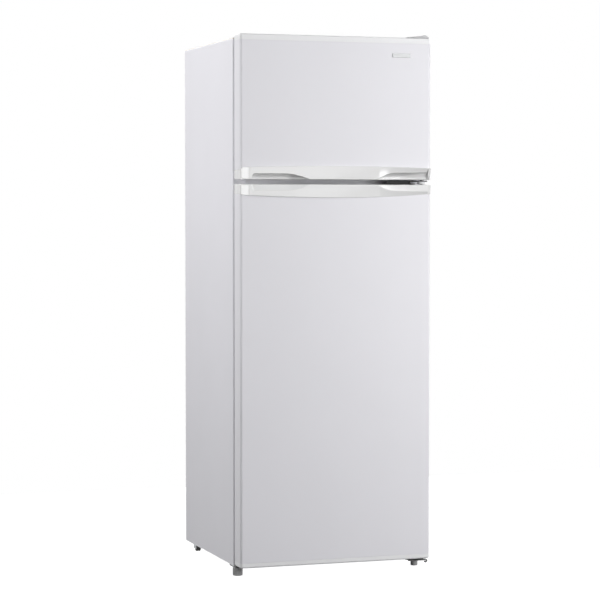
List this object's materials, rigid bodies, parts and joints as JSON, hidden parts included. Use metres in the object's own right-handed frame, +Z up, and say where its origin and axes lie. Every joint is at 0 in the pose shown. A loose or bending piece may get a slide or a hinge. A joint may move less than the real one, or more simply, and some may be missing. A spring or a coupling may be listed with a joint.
{
  "type": "top freezer refrigerator",
  "caption": "Free-standing white refrigerator with a freezer above the fresh-food compartment, hinged doors, arched handle trims with finger pockets, rear coil and rollers.",
  "frame": {"origin": "on the floor, at the centre of the bounding box's width and depth", "axes": "+Z up, -Y towards the doors' front, +X to the right seen from the front"},
  "size_m": [0.548, 0.5696, 1.475],
  "materials": {
    "white_paint": "satin white powder coat",
    "white_plastic": "fine satin",
    "trim_plastic": "gloss white",
    "liner_plastic": "semi-gloss vacuum-formed",
    "clear_plastic": "clear",
    "dark_plastic": "matt",
    "foot_plastic": "matt, ribbed",
    "black_paint": "black enamel",
    "zinc_steel": "zinc plated",
    "copper": "drawn copper",
    "aluminium": "mill",
    "grey_rubber": "soft vinyl",
    "black_rubber": "matt",
    "foam": "rigid foam",
    "glass": "clear float glass"
  },
  "bodies": {
    "cabinet": {"outer_shell": "white_paint", "back_panel": "zinc_steel", "underside_panel": "zinc_steel", "insulation_foam": "foam", "freezer_liner": "liner_plastic", "fridge_liner": "liner_plastic", "center_rail": "white_paint", "base_frame": "zinc_steel", "left_foot_bracket": "black_paint", "compressor_tray": "zinc_steel", "compressor": "black_paint", "terminal_cover": "dark_plastic", "drain_pan": "dark_plastic", "drain_spout": "white_plastic", "condenser_coil": "black_paint", "filter_drier": "copper", "evaporator_coil": "aluminium", "evaporator_cover": "liner_plastic", "fan_motor": "dark_plastic", "mains_inlet": "dark_plastic", "control_housing": "white_plastic", "lamp_lens": "clear_plastic", "lamp_bulb": "glass", "door_switch_housing": "white_plastic", "upper_glass_shelf": "glass", "lower_glass_shelf": "glass", "crisper_cover": "glass", "freezer_shelf": "clear_plastic", "top_hinge_bracket": "zinc_steel", "top_hinge_cover": "dark_plastic", "mid_hinge_bracket": "black_paint", "bottom_hinge_bracket": "black_paint"},
    "freezer_door": {"freezer_door_panel": "white_paint", "freezer_door_foam": "foam", "freezer_door_liner": "liner_plastic", "freezer_door_top_cap": "white_plastic", "freezer_handle_trim": "trim_plastic", "freezer_hinge_bush": "black_rubber", "freezer_door_gasket": "grey_rubber", "freezer_door_lower_bin": "clear_plastic", "freezer_door_upper_bin": "clear_plastic", "badge": "zinc_steel"},
    "fridge_door": {"fridge_door_panel": "white_paint", "fridge_door_foam": "foam", "fridge_door_liner": "liner_plastic", "fridge_door_bottom_cap": "white_plastic", "fridge_handle_trim": "trim_plastic", "fridge_hinge_bush": "black_rubber", "fridge_door_gasket": "grey_rubber", "fridge_door_bottle_bin": "clear_plastic", "fridge_door_middle_bin": "clear_plastic", "fridge_door_upper_bin": "clear_plastic"},
    "crisper_drawer": {"crisper_drawer": "clear_plastic"},
    "thermostat_knob": {"thermostat_knob": "white_plastic"},
    "door_switch_plunger": {"door_switch_plunger": "white_plastic"},
    "evaporator_fan": {"evaporator_fan": "white_plastic"},
    "left_levelling_foot": {"left_levelling_foot": "foot_plastic"},
    "right_levelling_foot": {"right_levelling_foot": "foot_plastic"},
    "left_roller": {"left_roller": "black_rubber"},
    "right_roller": {"right_roller": "black_rubber"}
  },
  "joints": [
    {"name": "freezer_door_hinge", "type": "hinge", "parent": "cabinet", "child": "freezer_door", "pos_m": [0.256, -0.25275, 1.272], "axis": [0, 0, 1], "range_deg": [0, 130]},
    {"name": "fridge_door_hinge", "type": "hinge", "parent": "cabinet", "child": "fridge_door", "pos_m": [0.256, -0.25275, 0.548], "axis": [0, 0, 1], "range_deg": [0, 130]},
    {"name": "crisper_slide", "type": "slide", "parent": "cabinet", "child": "crisper_drawer", "axis": [0, -1, 0], "range_m": [0, 0.126]},
    {"name": "door_switch_press", "type": "slide", "parent": "cabinet", "child": "door_switch_plunger", "axis": [0, -1, 0], "range_m": [0, 0.006]},
    {"name": "thermostat_turn", "type": "hinge", "parent": "cabinet", "child": "thermostat_knob", "pos_m": [0.058, -0.10875, 1.016], "axis": [0, -1, 0], "range_deg": [-135, 135]},
    {"name": "evaporator_fan_spin", "type": "hinge", "parent": "cabinet", "child": "evaporator_fan", "pos_m": [0, 0.18325, 1.352], "axis": [0, 1, 0], "continuous": true},
    {"name": "left_foot_screw", "type": "slide", "parent": "cabinet", "child": "left_levelling_foot", "axis": [0, 0, -1], "range_m": [0, 0.012]},
    {"name": "right_foot_screw", "type": "slide", "parent": "cabinet", "child": "right_levelling_foot", "axis": [0, 0, -1], "range_m": [0, 0.012]},
    {"name": "left_roller_spin", "type": "hinge", "parent": "cabinet", "child": "left_roller", "pos_m": [-0.25, 0.22625, 0.013], "axis": [1, 0, 0], "continuous": true},
    {"name": "right_roller_spin", "type": "hinge", "parent": "cabinet", "child": "right_roller", "pos_m": [0.25, 0.22625, 0.013], "axis": [1, 0, 0], "continuous": true}
  ],
  "couplings": [
    {"joint": "crisper_slide", "follows": "fridge_door_hinge", "m_per_rad": 0.055},
    {"joint": "door_switch_press", "follows": "fridge_door_hinge", "m_per_rad": 0.0026}
  ]
}
